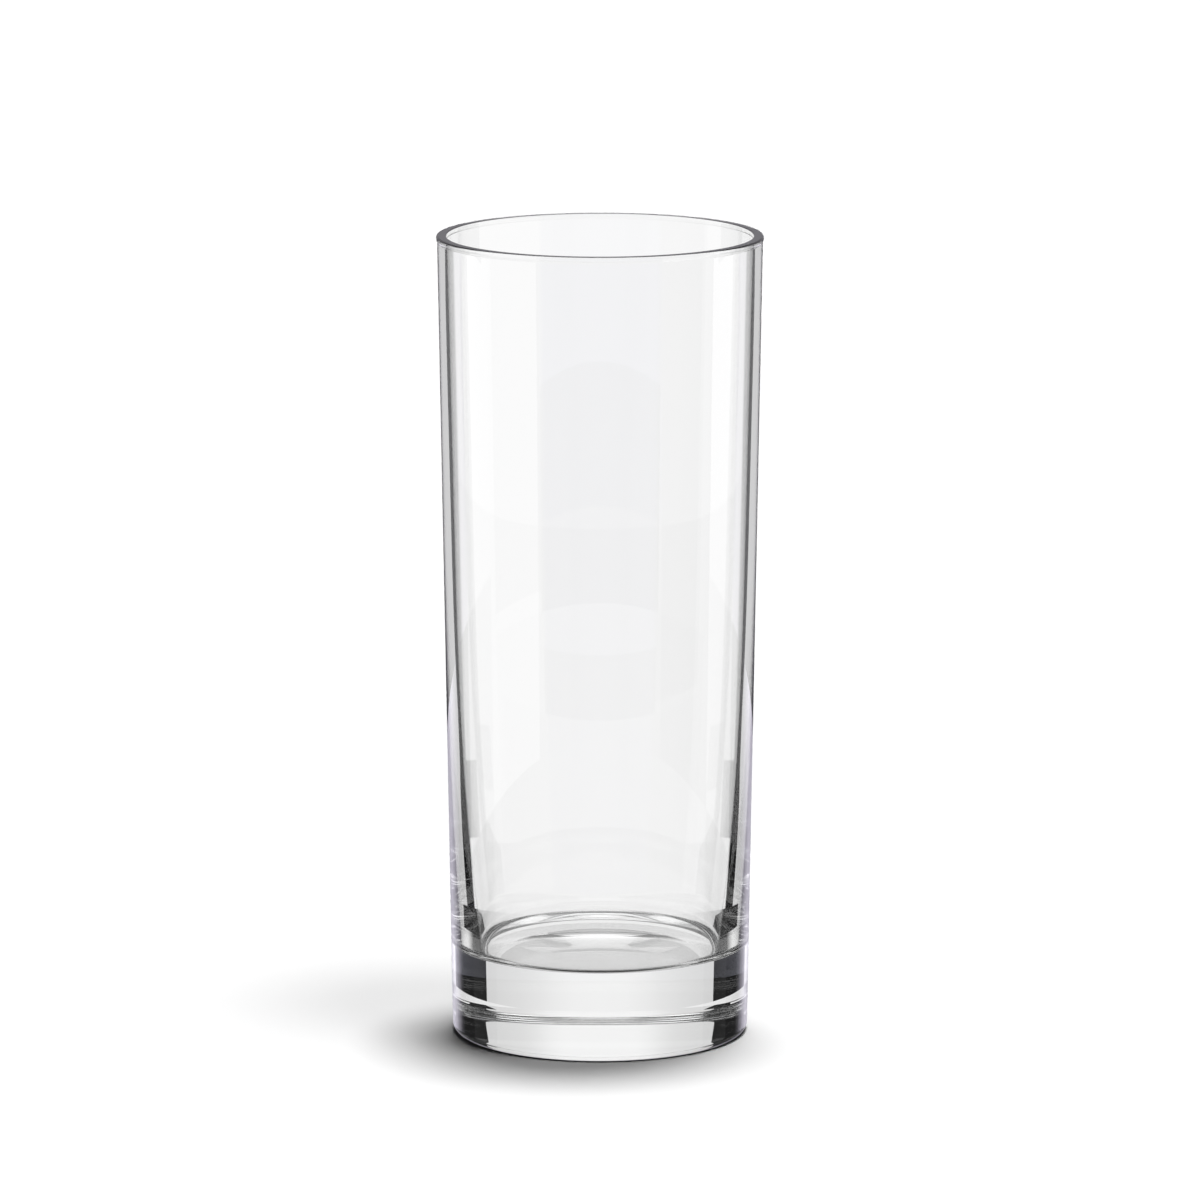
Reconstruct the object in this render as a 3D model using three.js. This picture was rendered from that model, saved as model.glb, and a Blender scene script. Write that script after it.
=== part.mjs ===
import * as THREE from 'three';

// Cooler glass: a tall, straight-sided tumbler with a heavy base, one piece of clear glass.
// Millimetres, +Z up. The origin is the middle of the foot, on the surface it stands on.

// Overall form: the outer wall is a straight taper between these two radii
const glassHeight = 161;
const footRadius = 29.57;
const mouthRadius = 32.21;

// Foot: a flat ring to stand on, a rounded heel outside it and a shallow push-up inside it
const heelRadius = 1.7;
const bearingRingWidth = 4.5;
const pushUpHeight = 0.5;

// Rim: a low bead that stands a little proud of the outer wall, flat on top with both edges fire-polished round
const rimBulge = 0.19;
const rimBeadHeight = 1.25;
const rimOuterRound = 0.4;
const rimInnerRound = 0.3;
const rimNeckRound = 0.05;
const rimBulgeRise = 0.2;

// Hollow: an even taper down to the belly, then a long sweep that thickens the wall towards the base
const mouthWall = 1.85;
const bellyHeight = 100;
const bellyWall = 2.2;
const bellyPullShare = 0.4;
const cornerPullShare = 0.3;

// Foot of the hollow: a tight corner that leans outwards, and a floor that dishes a little
const cornerHeight = 1.8;
const cornerWall = 5.2;
const cornerLean = 6.5;
const cornerRoundShare = 0.55;
const floorRadius = 22.8;
const floorHeight = 17.1;
const floorDish = 0.2;

// Facets round the axis, and steps along each curved stretch of the profile
const turnFacets = 96;
const pushUpSteps = 4;
const heelSteps = 6;
const neckSteps = 5;
const rimRoundSteps = 4;
const sweepSteps = 14;
const cornerSteps = 6;
const dishSteps = 3;

const glassMaterial = new THREE.MeshStandardMaterial({
  color: 0xf3f7f6,
  roughness: 0.04,
  metalness: 0,
  transparent: true,
  opacity: 0.35,
});

const at = (radius, height) => new THREE.Vector2(radius, height);

// Radius of the tapered outer wall at a height
const wallSlope = (mouthRadius - footRadius) / glassHeight;
const wallRadius = (height) => footRadius + height * wallSlope;

// An arc that leaves the axis level and reaches a ring at another height
function dome(apexHeight, ringRadius, ringHeight) {
  const rise = apexHeight - ringHeight;
  const sphereRadius = (ringRadius ** 2 + rise ** 2) / (2 * Math.abs(rise));
  const centreHeight = apexHeight - Math.sign(rise) * sphereRadius;
  const apexAngle = Math.sign(rise) * Math.PI / 2;
  const ringAngle = Math.atan2(ringHeight - centreHeight, ringRadius);
  return new THREE.EllipseCurve(
    0, centreHeight, sphereRadius, sphereRadius, apexAngle, ringAngle, rise > 0,
  );
}

// Underside: the push-up, then the ring that the glass stands on
function undersideCurves() {
  const taper = Math.atan(wallSlope);
  const heelCentreRadius = wallRadius(heelRadius) - heelRadius / Math.cos(taper);
  const pushUpRadius = heelCentreRadius - bearingRingWidth;
  const heel = new THREE.EllipseCurve(
    heelCentreRadius, heelRadius, heelRadius, heelRadius, -Math.PI / 2, -taper, false,
  );
  return [
    [dome(pushUpHeight, pushUpRadius, 0), pushUpSteps],
    [heel, heelSteps],
  ];
}

// A quarter circle, anticlockwise from a start angle
function quarterRound(centre, radius, startAngle) {
  const endAngle = startAngle + Math.PI / 2;
  return new THREE.EllipseCurve(centre.x, centre.y, radius, radius, startAngle, endAngle, false);
}

// Where the rim's inner edge round runs out into the hollow
const rimFootHeight = glassHeight - rimInnerRound;
const rimFoot = at(wallRadius(rimFootHeight) - mouthWall, rimFootHeight);

// Rim: out from the wall over a tight neck, up the bead, then across the flat top from round to round
function rimCurves() {
  const neckFootHeight = glassHeight - rimBeadHeight;
  const bulgeHeight = glassHeight - rimOuterRound;
  const neckFoot = at(wallRadius(neckFootHeight), neckFootHeight);
  const bulge = at(wallRadius(bulgeHeight) + rimBulge, bulgeHeight);
  const neck = new THREE.CubicBezierCurve(
    neckFoot,
    at(wallRadius(neckFootHeight + rimNeckRound), neckFootHeight + rimNeckRound),
    at(bulge.x, neckFootHeight + rimBulgeRise),
    bulge,
  );
  const outerRound = quarterRound(at(bulge.x - rimOuterRound, bulgeHeight), rimOuterRound, 0);
  const innerCentre = at(rimFoot.x + rimInnerRound, rimFootHeight);
  const innerRound = quarterRound(innerCentre, rimInnerRound, Math.PI / 2);
  return [
    [neck, neckSteps],
    [outerRound, rimRoundSteps],
    [innerRound, rimRoundSteps],
  ];
}

// Hollow: the long sweep from the belly, the corner under it, then the dished floor
function hollowCurves() {
  const belly = at(wallRadius(bellyHeight) - bellyWall, bellyHeight);
  const down = belly.clone().sub(rimFoot).normalize();
  const cornerTopHeight = floorHeight + cornerHeight;
  const cornerTop = at(wallRadius(cornerTopHeight) - cornerWall, cornerTopHeight);
  const leanAngle = THREE.MathUtils.degToRad(cornerLean);
  const lean = at(Math.sin(leanAngle), Math.cos(leanAngle));
  const drop = bellyHeight - cornerTopHeight;
  const sweep = new THREE.CubicBezierCurve(
    belly,
    belly.clone().addScaledVector(down, drop * bellyPullShare),
    cornerTop.clone().addScaledVector(lean, drop * cornerPullShare),
    cornerTop,
  );
  const floor = dome(floorHeight - floorDish, floorRadius, floorHeight);
  const floorEdge = at(floorRadius, floorHeight);
  const cornerWidth = cornerTop.x - floorRadius;
  const corner = new THREE.CubicBezierCurve(
    cornerTop,
    cornerTop.clone().addScaledVector(lean, -cornerHeight * cornerRoundShare),
    floorEdge.clone().addScaledVector(floor.getTangent(1), cornerWidth * cornerRoundShare),
    floorEdge,
  );
  return [
    [sweep, sweepSteps],
    [corner, cornerSteps],
    [floor, dishSteps],
  ];
}

// The points of a run of curves, without the ones that neighbours share
function tracePoints(curves) {
  const points = [];
  for (const [curve, steps] of curves) {
    for (const point of curve.getPoints(steps)) {
      const last = points[points.length - 1];
      if (!last || last.distanceTo(point) > Number.EPSILON * glassHeight) {
        points.push(point);
      }
    }
  }
  return points;
}

// Up the outside from the axis to the rim, then down the inside and back to the axis
function glassProfile() {
  const [sweep, corner, floor] = hollowCurves();
  const outside = tracePoints([...undersideCurves(), ...rimCurves()]);
  const inside = [...tracePoints([sweep, corner]), ...tracePoints([floor]).reverse().slice(1)];
  const profile = [...outside, ...inside];
  profile[0].x = 0;
  profile[profile.length - 1].x = 0;
  return profile;
}

// The profile turned round the upright axis
function makeGlass() {
  const geometry = new THREE.LatheGeometry(glassProfile(), turnFacets);
  geometry.rotateX(Math.PI / 2);
  const glass = new THREE.Mesh(geometry, glassMaterial);
  glass.name = 'glass_tumbler';
  return glass;
}

const group = new THREE.Group();
group.name = 'cooler_glass';
group.add(makeGlass());

export default group;
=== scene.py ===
import bmesh
import bpy
import math
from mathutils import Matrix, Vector


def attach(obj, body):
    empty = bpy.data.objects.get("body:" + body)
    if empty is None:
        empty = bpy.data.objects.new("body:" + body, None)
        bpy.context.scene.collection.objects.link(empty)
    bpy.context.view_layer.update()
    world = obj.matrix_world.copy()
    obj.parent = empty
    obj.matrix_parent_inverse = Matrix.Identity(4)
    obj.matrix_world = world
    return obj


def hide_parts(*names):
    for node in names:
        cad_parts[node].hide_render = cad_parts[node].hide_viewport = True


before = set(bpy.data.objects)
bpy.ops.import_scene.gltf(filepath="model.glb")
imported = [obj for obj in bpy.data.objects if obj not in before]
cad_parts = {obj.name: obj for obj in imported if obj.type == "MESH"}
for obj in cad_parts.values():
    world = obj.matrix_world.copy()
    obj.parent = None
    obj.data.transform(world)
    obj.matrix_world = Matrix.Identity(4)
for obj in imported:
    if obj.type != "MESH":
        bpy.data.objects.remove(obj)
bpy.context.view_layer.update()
print("frame loaded:", sorted(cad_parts))

mm = 0.001
white = (1, 1, 1, 1)
scene = bpy.context.scene

# Camera: stands in front of the glass and looks a little down on it.
# The lens and sensor are in Blender's own camera millimetres
cameraSetup = {
    "place": (0, -1558.9 * mm, 379.3 * mm),
    "lookDown": math.radians(10.6),
    "sensor": 36,
    "lens": 238.7,
    "clip": (10 * mm, 60),
}


def addCamera(setup):
    data = bpy.data.cameras.new("camera")
    data.sensor_width = setup["sensor"]
    data.lens = setup["lens"]
    data.clip_start, data.clip_end = setup["clip"]
    camera = bpy.data.objects.new("camera", data)
    camera.location = setup["place"]
    camera.rotation_euler = (math.pi / 2 - setup["lookDown"], 0, 0)
    scene.collection.objects.link(camera)
    scene.camera = camera
    return camera


camera = addCamera(cameraSetup)
print("camera ready")


# Curves for the profile of the glass: every point is (radius, height)
def bezierPoints(start, handleA, handleB, end, steps):
    points = []
    for i in range(steps + 1):
        t = i / steps
        s = 1 - t
        pulled = s ** 3 * start + 3 * s * s * t * handleA + 3 * s * t * t * handleB
        points.append(pulled + t ** 3 * end)
    return points


def arcPoints(centre, radius, startAngle, endAngle, steps):
    points = []
    for i in range(steps + 1):
        angle = startAngle + (endAngle - startAngle) * i / steps
        points.append(centre + Vector((radius * math.cos(angle), radius * math.sin(angle))))
    return points


# An arc that is level at the axis and runs up or down to a ring
def domePoints(apexHeight, ringRadius, ringHeight, steps):
    rise = apexHeight - ringHeight
    sphere = (ringRadius ** 2 + rise ** 2) / (2 * abs(rise))
    side = math.copysign(1, rise)
    reach = math.asin(ringRadius / sphere)
    points = []
    for i in range(steps + 1):
        angle = reach * i / steps
        height = apexHeight - side * sphere * (1 - math.cos(angle))
        points.append(Vector((sphere * math.sin(angle), height)))
    return points


# A straight stretch without its two ends. Points close to them keep the smooth shading true beside a curve
firstShares, lastShares = [0.0005, 0.005], [0.995, 0.9995]


def straightPoints(start, end, steps):
    shares = firstShares + [i / steps for i in range(1, steps)] + lastShares
    return [start.lerp(end, share) for share in shares]


# The glass: one lathe-turned body, with the same sizes as the CAD node that it stands for
glassForm = {
    "height": 161 * mm,
    "footRadius": 29.57 * mm,
    "mouthRadius": 32.21 * mm,
    "heelRadius": 1.7 * mm,
    "bearingRingWidth": 4.5 * mm,
    "pushUpHeight": 0.5 * mm,
    "rimBulge": 0.19 * mm,
    "rimOuterRound": 0.4 * mm,
    "rimInnerRound": 0.3 * mm,
    "rimBeadHeight": 1.25 * mm,
    "rimNeckRound": 0.05 * mm,
    "rimBulgeRise": 0.2 * mm,
    "mouthWall": 1.85 * mm,
    "bellyHeight": 100 * mm,
    "bellyWall": 2.2 * mm,
    "bellyPullShare": 0.4,
    "cornerPullShare": 0.3,
    "cornerHeight": 1.8 * mm,
    "cornerWall": 5.2 * mm,
    "cornerLean": math.radians(6.5),
    "cornerRoundShare": 0.55,
    "floorRadius": 22.8 * mm,
    "floorHeight": 17.1 * mm,
    "floorDish": 0.2 * mm,
    "segments": 384,
    "joinWithin": 0.001 * mm,       # points nearer to each other than this become one
    "steps": {
        "pushUp": 40,
        "bearingRing": 8,
        "heel": 32,
        "outerWall": 60,
        "neck": 20,
        "rimRound": 24,
        "rimTop": 6,
        "innerWall": 30,
        "sweep": 80,
        "corner": 36,
        "floor": 40,
    },
}


# From the middle of the underside out and up to the rim, then down the inside to the middle of the floor
def glassProfile(form):
    steps = form["steps"]
    height, foot, mouth = form["height"], form["footRadius"], form["mouthRadius"]
    slope = (mouth - foot) / height

    def wallRadius(z):
        return foot + z * slope

    heel = form["heelRadius"]
    taper = math.atan(slope)
    heelCentre = Vector((wallRadius(heel) - heel / math.cos(taper), heel))
    pushUp = domePoints(form["pushUpHeight"], heelCentre.x - form["bearingRingWidth"], 0, steps["pushUp"])
    heelArc = arcPoints(heelCentre, heel, -math.pi / 2, -taper, steps["heel"])

    outerRound, innerRound = form["rimOuterRound"], form["rimInnerRound"]
    bulgeHeight = height - outerRound
    footHeight = height - form["rimBeadHeight"]
    neckFoot = Vector((wallRadius(footHeight), footHeight))
    bulge = Vector((wallRadius(bulgeHeight) + form["rimBulge"], bulgeHeight))
    neck = bezierPoints(
        neckFoot,
        neckFoot + Vector((form["rimNeckRound"] * slope, form["rimNeckRound"])),
        Vector((bulge.x, footHeight + form["rimBulgeRise"])),
        bulge,
        steps["neck"],
    )
    outerCentre = Vector((bulge.x - outerRound, bulgeHeight))
    outerCap = arcPoints(outerCentre, outerRound, 0, math.pi / 2, steps["rimRound"])
    innerHeight = height - innerRound
    innerRim = Vector((wallRadius(innerHeight) - form["mouthWall"], innerHeight))
    innerCentre = Vector((innerRim.x + innerRound, innerHeight))
    innerCap = arcPoints(innerCentre, innerRound, math.pi / 2, math.pi, steps["rimRound"])

    belly = Vector((wallRadius(form["bellyHeight"]) - form["bellyWall"], form["bellyHeight"]))
    down = (belly - innerRim).normalized()
    cornerTopHeight = form["floorHeight"] + form["cornerHeight"]
    cornerTop = Vector((wallRadius(cornerTopHeight) - form["cornerWall"], cornerTopHeight))
    lean = Vector((math.sin(form["cornerLean"]), math.cos(form["cornerLean"])))
    drop = belly.y - cornerTop.y
    sweep = bezierPoints(
        belly,
        belly + down * drop * form["bellyPullShare"],
        cornerTop + lean * drop * form["cornerPullShare"],
        cornerTop,
        steps["sweep"],
    )
    floorMiddle = form["floorHeight"] - form["floorDish"]
    floor = domePoints(floorMiddle, form["floorRadius"], form["floorHeight"], steps["floor"])
    floorEdge = floor[-1]
    outward = (floor[-1] - floor[-2]).normalized()
    share = form["cornerRoundShare"]
    corner = bezierPoints(
        cornerTop,
        cornerTop - lean * form["cornerHeight"] * share,
        floorEdge + outward * (cornerTop.x - floorEdge.x) * share,
        floorEdge,
        steps["corner"],
    )
    floor.reverse()
    bearingRing = straightPoints(pushUp[-1], heelArc[0], steps["bearingRing"])
    outerWall = straightPoints(heelArc[-1], neckFoot, steps["outerWall"])
    rimTop = straightPoints(outerCap[-1], innerCap[0], steps["rimTop"])
    innerWall = straightPoints(innerRim, belly, steps["innerWall"])
    outside = pushUp + bearingRing + heelArc + outerWall + neck + outerCap
    inside = rimTop + innerCap + innerWall + sweep + corner + floor
    profile = []
    for point in outside + inside:
        if not profile or (point - profile[-1]).length > form["joinWithin"]:
            profile.append(point)
    return profile


def turnProfile(name, profile, segments):
    mesh = bpy.data.meshes.new(name)
    body = bmesh.new()
    bottom = body.verts.new((0, 0, profile[0].y))
    top = body.verts.new((0, 0, profile[-1].y))
    rings = []
    for point in profile[1:-1]:
        ring = []
        for i in range(segments):
            angle = 2 * math.pi * i / segments
            x, y = point.x * math.cos(angle), point.x * math.sin(angle)
            ring.append(body.verts.new((x, y, point.y)))
        rings.append(ring)
    for i in range(segments):
        j = (i + 1) % segments
        body.faces.new((bottom, rings[0][j], rings[0][i]))
        body.faces.new((top, rings[-1][i], rings[-1][j]))
        for lower, upper in zip(rings, rings[1:]):
            body.faces.new((lower[i], lower[j], upper[j], upper[i]))
    for face in body.faces:
        face.smooth = True
    bmesh.ops.recalc_face_normals(body, faces=body.faces)
    body.to_mesh(mesh)
    body.free()
    piece = bpy.data.objects.new(name, mesh)
    scene.collection.objects.link(piece)
    return piece


clearGlass = {
    "ior": 1.52,
    "tint": white,
    "absorbColour": (0.75, 0.77, 0.76, 1),
    "absorbDensity": 1.5,       # faint: the heavy base is only a little greyer than the wall
}


def makeClearGlass(look):
    material = bpy.data.materials.new("clear_glass")
    material.use_nodes = True
    nodes, links = material.node_tree.nodes, material.node_tree.links
    nodes.clear()
    output = nodes.new("ShaderNodeOutputMaterial")
    surface = nodes.new("ShaderNodeBsdfPrincipled")
    surface.inputs["Base Color"].default_value = look["tint"]
    surface.inputs["Transmission Weight"].default_value = 1
    surface.inputs["IOR"].default_value = look["ior"]
    surface.inputs["Roughness"].default_value = 0
    links.new(surface.outputs["BSDF"], output.inputs["Surface"])
    absorb = nodes.new("ShaderNodeVolumeAbsorption")
    absorb.inputs["Color"].default_value = look["absorbColour"]
    absorb.inputs["Density"].default_value = look["absorbDensity"]
    links.new(absorb.outputs["Volume"], output.inputs["Volume"])
    return material


glass = turnProfile("glass_body", glassProfile(glassForm), glassForm["segments"])
glass.data.materials.append(makeClearGlass(clearGlass))
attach(glass, "root")
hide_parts("glass_tumbler")
print("glass made:", len(glass.data.vertices), "points")

# Studio: a white floor, two soft suns for its shade and the shadow, and a room of cards round the glass.
# The world is white to the camera and through the glass, dim in reflections, and dark as a light on the floor
studio = {
    "floorSize": 60,
    "floorColour": (0.9, 0.9, 0.9, 1),
    "ambient": 0.02,
    "mirrored": 0.15,
    "seen": 1,
}
suns = {
    "high_sun": {
        "strength": 2.85, "softness": math.radians(10), "tilt": (math.radians(-5), math.radians(2), 0),
    },
    "side_sun": {
        "strength": 0.8, "softness": math.radians(14), "tilt": (math.radians(8), math.radians(13), 0),
    },
}


def addFloor(setup):
    half = setup["floorSize"] / 2
    mesh = bpy.data.meshes.new("floor")
    corners = [(-half, -half, 0), (half, -half, 0), (half, half, 0), (-half, half, 0)]
    mesh.from_pydata(corners, [], [(0, 1, 2, 3)])
    floor = bpy.data.objects.new("floor", mesh)
    scene.collection.objects.link(floor)
    material = bpy.data.materials.new("floor_white")
    material.use_nodes = True
    nodes, links = material.node_tree.nodes, material.node_tree.links
    nodes.clear()
    output = nodes.new("ShaderNodeOutputMaterial")
    paint = nodes.new("ShaderNodeBsdfDiffuse")
    paint.inputs["Color"].default_value = setup["floorColour"]
    links.new(paint.outputs["BSDF"], output.inputs["Surface"])
    mesh.materials.append(material)
    floor.visible_transmission = False
    floor.visible_glossy = False


def addSun(name, spec):
    data = bpy.data.lights.new(name, "SUN")
    data.energy = spec["strength"]
    data.angle = spec["softness"]
    sun = bpy.data.objects.new(name, data)
    sun.rotation_euler = spec["tilt"]
    sun.visible_glossy = False
    sun.visible_transmission = False
    scene.collection.objects.link(sun)


def addWorld(setup):
    world = bpy.data.worlds.new("studio_white")
    world.use_nodes = True
    nodes, links = world.node_tree.nodes, world.node_tree.links
    nodes.clear()
    rays = nodes.new("ShaderNodeLightPath")

    def glow(strength):
        shade = nodes.new("ShaderNodeBackground")
        shade.inputs["Color"].default_value = white
        shade.inputs["Strength"].default_value = strength
        return shade.outputs["Background"]

    def choose(kind, otherwise, then):
        mix = nodes.new("ShaderNodeMixShader")
        links.new(rays.outputs[kind], mix.inputs["Fac"])
        links.new(otherwise, mix.inputs[1])
        links.new(then, mix.inputs[2])
        return mix.outputs["Shader"]

    seen = choose("Is Reflection Ray", glow(setup["seen"]), glow(setup["mirrored"]))
    output = nodes.new("ShaderNodeOutputWorld")
    links.new(choose("Is Diffuse Ray", seen, glow(setup["ambient"])), output.inputs["Surface"])
    scene.world = world


# The cards are patches of spheres round the glass, and only the glass sees them. For each card:
# "azimuth" and "elevation" are its edges in degrees, with azimuth 0 straight behind the glass
# "innerEdge" slants its inner edge: pairs of elevation and azimuth
# "tones" are pairs of azimuth and brightness, and the tone changes evenly from one to the next
# "through" cards show only through the glass, and "mirrored" ones only as reflections on it
# "pair" hangs a second card, mirrored left to right
far, wide, middle, near = 22, 1, 0.7, 0.3       # metres out from the foot
violet, blue = (0.9, 0.86, 1, 1), (0.85, 0.86, 1, 1)
faintViolet, skyBlue = (0.95, 0.93, 1, 1), (0.6, 0.7, 1, 1)
cardStep = 1.5       # degrees between the points of a card
cards = {
    # behind: the bright middle of the glass, which dims towards the walls
    "back_upper": {
        "shows": "through", "azimuth": (-48, 48), "elevation": (-10.2, 28), "distance": far,
        "tones": [(0, 0.97), (10, 0.97), (14, 0.92), (18, 0.84), (22, 0.78), (31, 0.73), (48, 0.7)],
    },
    "back_lower": {
        "shows": "through", "azimuth": (-48, 48), "elevation": (-28, -10.2), "distance": far,
        "tones": [(0, 0.95), (7, 0.94), (13, 0.89), (17, 0.84), (24, 0.78), (31, 0.74), (48, 0.7)],
    },
    "back_sky": {
        "shows": "through", "azimuth": (-64, 64), "elevation": (28, 58), "distance": far,
        "tones": [(0, 0.6)],
    },
    "back_top": {
        "shows": "through", "azimuth": (-64, 64), "elevation": (58, 85), "distance": far,
        "tones": [(0, 1.25)],
    },
    # dark flags: the blocks beside the heavy base and the lines down the walls
    "flag": {
        "pair": True, "shows": "through", "azimuth": (37.7, 49), "elevation": (-60, 40), "distance": middle,
        "innerEdge": [
            (-14.4, 35.2), (-12, 37.7), (-9.5, 37.7), (-5.6, 34.6), (1.6, 31.6), (3.5, 31.6), (6, 37.7),
        ],
        "tones": [(0, 0.01)],
    },
    "flag_level": {
        "pair": True, "shows": "through", "azimuth": (42, 68), "elevation": (-12, -5.5), "distance": near,
        "tones": [(0, 0.01)],
    },
    "flag_high": {
        "pair": True, "shows": "through", "azimuth": (48, 72), "elevation": (1.5, 30), "distance": wide,
        "tones": [(0, 0.01)],
    },
    # at the sides, seen through the outermost edges of the walls
    "side_level": {
        "pair": True, "shows": "through", "azimuth": (64, 92), "elevation": (-13.1, 0), "distance": far,
        "tones": [(0, 1.0)],
    },
    "side_high": {
        "pair": True, "shows": "through", "azimuth": (64, 92), "elevation": (0, 8), "distance": far,
        "tones": [(0, 0.6)],
    },
    "side_sky": {
        "pair": True, "shows": "through", "azimuth": (64, 134), "elevation": (12, 70), "distance": far,
        "tones": [(0, 0.05)],
    },
    "side_low": {
        "pair": True, "shows": "through", "azimuth": (64, 92), "elevation": (-42, -13.1), "distance": far,
        "tones": [(0, 1.0)],
    },
    # what the walls mirror from the sides and from behind
    "glint_high": {
        "pair": True, "shows": "mirrored", "azimuth": (64, 92), "elevation": (-11.5, 60), "distance": far,
        "tones": [(0, 1.4)],
    },
    "glint_middle": {
        "pair": True, "shows": "mirrored", "azimuth": (64, 92), "elevation": (-13.3, -11.5), "distance": far,
        "tones": [(0, 0.9)],
    },
    "glint_low": {
        "pair": True, "shows": "mirrored", "azimuth": (64, 92), "elevation": (-60, -13.3), "distance": far,
        "tones": [(0, 0.12)],
    },
    "edge_top": {
        "shows": "mirrored", "azimuth": (-64, 64), "elevation": (-4, 60), "distance": far,
        "tones": [(0, 0.4)], "colour": faintViolet,
    },
    "edge_upper": {
        "shows": "mirrored", "azimuth": (-64, 64), "elevation": (-11.5, -4), "distance": far,
        "tones": [(0, 0.15), (36, 0.12), (46, 0.12), (52, 0.3), (58, 0.8), (64, 1.1)], "colour": violet,
    },
    "edge_middle": {
        "shows": "mirrored", "azimuth": (-64, 64), "elevation": (-15, -11.5), "distance": far,
        "tones": [
            (0, 0.5), (12, 0.85), (22, 1.35), (30, 1.4), (38, 0.8), (43, 0.25), (48, 0.01), (64, 0.01),
        ],
        "colour": violet,
    },
    "edge_low": {
        "shows": "mirrored", "azimuth": (-64, 64), "elevation": (-60, -15), "distance": far,
        "tones": [(0, 0.45), (20, 0.45), (28, 0.3), (34, 0.02), (64, 0.0)], "colour": violet,
    },
    # beside the glass, where left and right differ, and in front of it
    "softbox_left": {
        "shows": "mirrored", "azimuth": (-134, -92), "elevation": (-13.3, 60), "distance": far,
        "tones": [(0, 1.3)],
    },
    "window_left": {
        "shows": "through", "azimuth": (-134, -92), "elevation": (-13.2, 12), "distance": far,
        "tones": [(0, 0.5)],
    },
    "dark_right": {
        "shows": "mirrored", "azimuth": (92, 134), "elevation": (-13.3, 60), "distance": far,
        "tones": [(0, 0.02)],
    },
    "window_right": {
        "shows": "through", "azimuth": (92, 134), "elevation": (-13.2, 12), "distance": far,
        "tones": [(0, 1.0)],
    },
    "screen_front": {
        "shows": "through", "azimuth": (134, 226), "elevation": (-11.4, 0), "distance": far,
        "tones": [(0, 0.75)], "colour": blue,
    },
    "dark_level": {
        "shows": "through", "azimuth": (134, 226), "elevation": (-13.6, -11.4), "distance": far,
        "tones": [(0, 0.1)],
    },
    "dark_front": {
        "shows": "through", "azimuth": (134, 226), "elevation": (0, 24), "distance": far,
        "tones": [(0, 0.05)],
    },
    "front_sky": {
        "shows": "through", "azimuth": (134, 226), "elevation": (24, 50), "distance": far,
        "tones": [(0, 0.5)],
    },
    "front_top": {
        "shows": "through", "azimuth": (134, 226), "elevation": (50, 85), "distance": far,
        "tones": [(0, 1.25)],
    },
    "front_upper": {
        "shows": "mirrored", "azimuth": (134, 226), "elevation": (-11.5, 60), "distance": far,
        "tones": [(0, 0.2)], "colour": skyBlue,
    },
    "front_middle": {
        "shows": "mirrored", "azimuth": (134, 226), "elevation": (-13.3, -11.5), "distance": far,
        "tones": [(0, 0.45)],
    },
    "front_low": {
        "shows": "mirrored", "azimuth": (92, 268), "elevation": (-60, -13.3), "distance": far,
        "tones": [(0, 0.5)],
    },
    "ground_front": {
        "shows": "through", "azimuth": (92, 268), "elevation": (-42, -13.6), "distance": far,
        "tones": [(0, 0.8)],
    },
}


# The value at a spot between two of the steps, or that of the nearest step beyond them
def valueAt(steps, spot):
    below = [step for step in steps if step[0] <= spot] or steps[:1]
    above = [step for step in steps if step[0] > spot] or steps[-1:]
    (a, low), (b, high) = below[-1], above[0]
    return low if b <= a else low + (high - low) * (spot - a) / (b - a)


def makeGlow(name, colour):
    material = bpy.data.materials.new(name)
    material.use_nodes = True
    nodes, links = material.node_tree.nodes, material.node_tree.links
    nodes.clear()
    output = nodes.new("ShaderNodeOutputMaterial")
    glow = nodes.new("ShaderNodeEmission")
    glow.inputs["Color"].default_value = colour
    tone = nodes.new("ShaderNodeAttribute")
    tone.attribute_name = "tone"
    links.new(tone.outputs["Fac"], glow.inputs["Strength"])
    links.new(glow.outputs["Emission"], output.inputs["Surface"])
    return material


def hangCard(name, points, faces, tones, spec, rig):
    mesh = bpy.data.meshes.new(name)
    mesh.from_pydata(points, [], faces)
    layer = mesh.attributes.new("tone", "FLOAT", "POINT")
    layer.data.foreach_set("value", tones)
    card = bpy.data.objects.new(name, mesh)
    scene.collection.objects.link(card)
    mesh.materials.append(makeGlow(name, spec.get("colour", white)))
    card.parent = rig
    card.visible_camera = False
    card.visible_diffuse = False
    card.visible_shadow = False
    card.visible_volume_scatter = False
    card.visible_glossy = spec["shows"] == "mirrored"
    card.visible_transmission = spec["shows"] == "through"


# side is 1 as the azimuths say, or -1 for the other side
def addCard(name, side, spec, rig):
    inner, outer = spec["azimuth"]
    lowest, highest = spec["elevation"]
    columns = max(1, round((outer - inner) / cardStep))
    rows = max(1, round((highest - lowest) / cardStep))
    points, faces, tones = [], [], []
    for row in range(rows + 1):
        elevation = lowest + (highest - lowest) * row / rows
        start = valueAt(spec.get("innerEdge", [(0, inner)]), elevation)
        for column in range(columns + 1):
            azimuth = start + (outer - start) * column / columns
            a, e = side * math.radians(azimuth), math.radians(elevation)
            direction = Vector((math.sin(a) * math.cos(e), math.cos(a) * math.cos(e), math.sin(e)))
            points.append(direction * spec["distance"])
            tones.append(valueAt(spec["tones"], abs(azimuth)))
    for row in range(rows):
        for column in range(columns):
            first = row * (columns + 1) + column
            faces.append((first, first + 1, first + columns + 2, first + columns + 1))
    hangCard(name, points, faces, tones, spec, rig)


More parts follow.
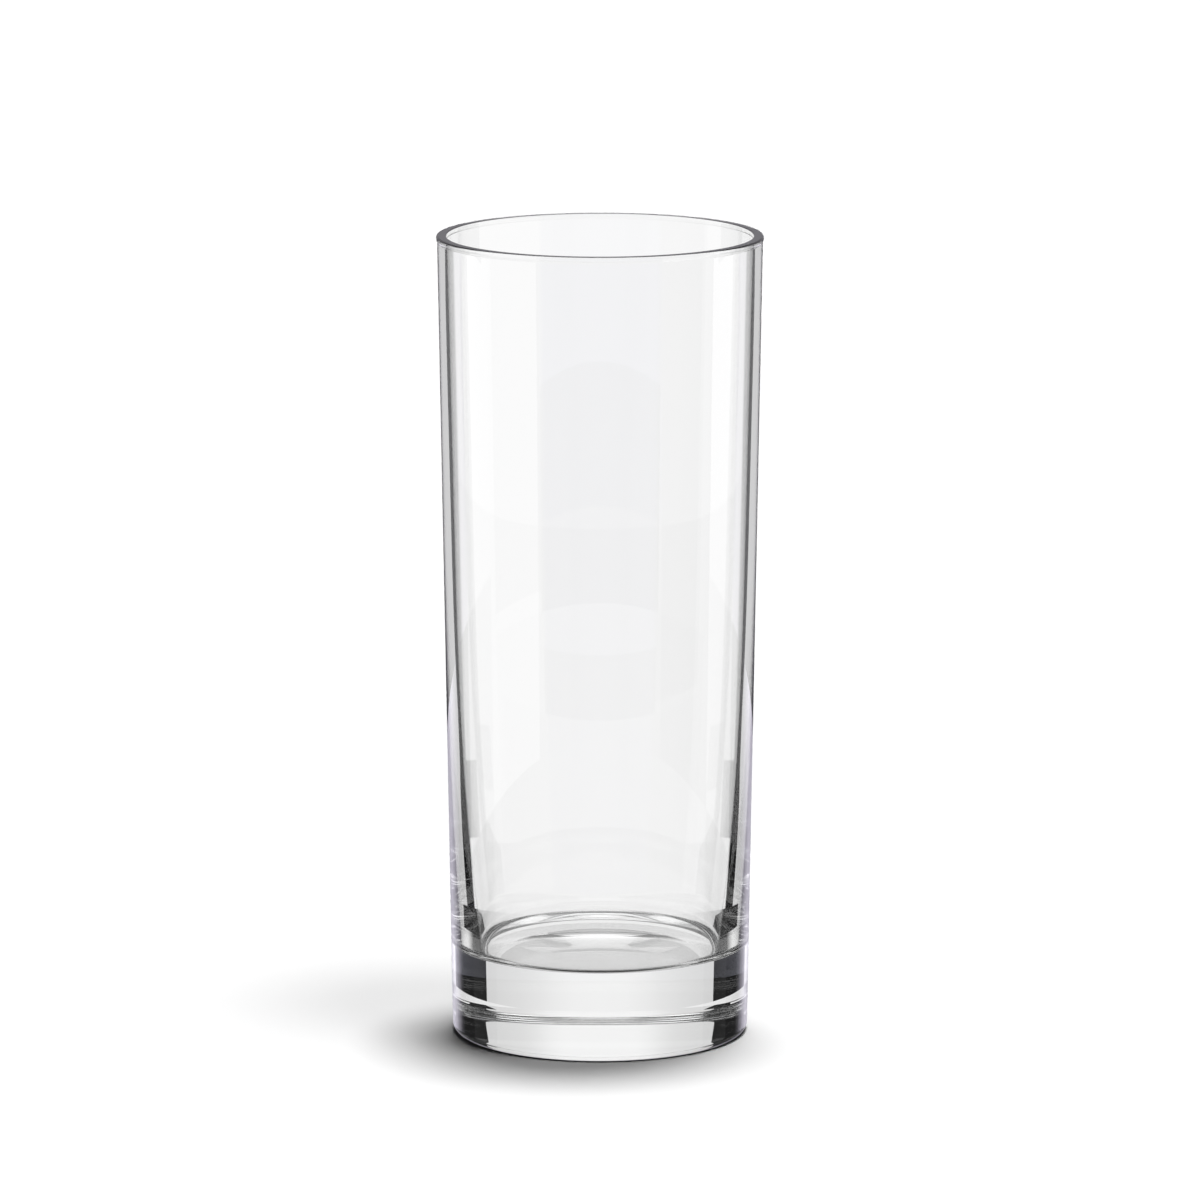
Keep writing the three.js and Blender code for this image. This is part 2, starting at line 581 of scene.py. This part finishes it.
# The table as it shows through the glass, in glowing rings below the foot: painted shade round the heel, the
# near ring light behind the glass and dark from 60 degrees round to the front, and dark where the steepest
# rays land.
# "openTo" leaves a ring open behind the glass, up to that many degrees to either side
tableRings = {
    # painted shade round the heel, where the glass stands on the table
    "heel_shade_ring": {
        "radii": (22 * mm, 34 * mm), "height": -10 * mm, "openTo": 0, "tones": [(0, 0.1)],
    },
    "near_ring": {
        "radii": (34 * mm, 80 * mm), "height": -10 * mm, "openTo": 0, "tones": [(50, 0.92), (60, 0.05)],
    },
    "corner_ring": {
        "radii": (80 * mm, 118 * mm), "height": -20 * mm, "openTo": 36, "tones": [(0, 0.03)],
    },
    "dark_ring": {
        "radii": (85 * mm, 170 * mm), "height": -100 * mm, "openTo": 0, "tones": [(0, 0.03)],
    },
}
ringSpokes = 96


def fromBehind(x, y):
    return math.degrees(math.atan2(abs(x), y))


def addTableRing(name, spec, rig):
    points, faces = [], []
    for i in range(ringSpokes):
        angle = 2 * math.pi * i / ringSpokes
        for radius in spec["radii"]:
            points.append((radius * math.cos(angle), radius * math.sin(angle), spec["height"]))
    for i in range(ringSpokes):
        j = (i + 1) % ringSpokes
        if fromBehind(*points[2 * i][:2]) >= spec["openTo"]:
            faces.append((2 * i, 2 * i + 1, 2 * j + 1, 2 * j))
    tones = [valueAt(spec["tones"], fromBehind(x, y)) for x, y, z in points]
    hangCard(name, points, faces, tones, {"shows": "through"}, rig)


# The table right under the foot, as a glowing card with painted shade: all of it in front, in a painted
# shadow that darkens towards the front, and the push-up's part behind in a paler painted shade
footShadeCard = {
    "shows": "through",
    "radius": 29.4 * mm,
    "backRadius": 22 * mm,
    "drop": 0.05 * mm,
    "rings": 30,
    "spokes": 72,
    "backShadeTone": 0.6,
    "frontShadowTone": 0.02,
    "shadeFrom": -12 * mm,
    "shadeTo": -20 * mm,
}


def addFootShadeCard(spec, rig):
    points, faces, tones = [], [], []
    for ring in range(spec["rings"] + 1):
        radius = spec["radius"] * ring / spec["rings"]
        for spoke in range(spec["spokes"]):
            angle = 2 * math.pi * spoke / spec["spokes"]
            x, y = radius * math.cos(angle), radius * math.sin(angle)
            points.append((x, y, -spec["drop"]))
            # painted shadow: the tone darkens from shadeFrom to shadeTo, towards the front of the foot
            light = min(1, max(0, (y - spec["shadeTo"]) / (spec["shadeFrom"] - spec["shadeTo"])))
            tones.append(spec["frontShadowTone"] + (spec["backShadeTone"] - spec["frontShadowTone"]) * light)
    for ring in range(spec["rings"]):
        for spoke in range(spec["spokes"]):
            beside = (spoke + 1) % spec["spokes"]
            first, outer = ring * spec["spokes"], (ring + 1) * spec["spokes"]
            x, y = points[outer + spoke][:2]
            if y <= spec["shadeFrom"] or math.hypot(x, y) <= spec["backRadius"]:
                faces.append((first + spoke, outer + spoke, outer + beside, first + beside))
    hangCard("foot_shade_card", points, faces, tones, spec, rig)


addFloor(studio)
for name, spec in suns.items():
    addSun(name, spec)
addWorld(studio)
rig = bpy.data.objects.new("light_rig", None)
scene.collection.objects.link(rig)
# The cards turn with the camera, so that other views show the glass as if it turned on a turntable
follow = rig.constraints.new("LOCKED_TRACK")
follow.target = camera
follow.track_axis = "TRACK_NEGATIVE_Y"
follow.lock_axis = "LOCK_Z"
for name, spec in cards.items():
    if spec.get("pair"):
        addCard(name + "_left", -1, spec, rig)
        addCard(name + "_right", 1, spec, rig)
    else:
        addCard(name, 1, spec, rig)
for name, spec in tableRings.items():
    addTableRing(name, spec, rig)
addFootShadeCard(footShadeCard, rig)
print("studio ready:", len(cards), "cards and", len(tableRings), "table rings")

# Light paths: the heavy base sends light to and fro many times before it leaves
bounces = {"all": 64, "transmission": 64, "glossy": 16}
scene.cycles.max_bounces = bounces["all"]
scene.cycles.transmission_bounces = bounces["transmission"]
scene.cycles.glossy_bounces = bounces["glossy"]
scene.cycles.caustics_reflective = False
scene.cycles.caustics_refractive = False
scene.view_settings.view_transform = "Standard"
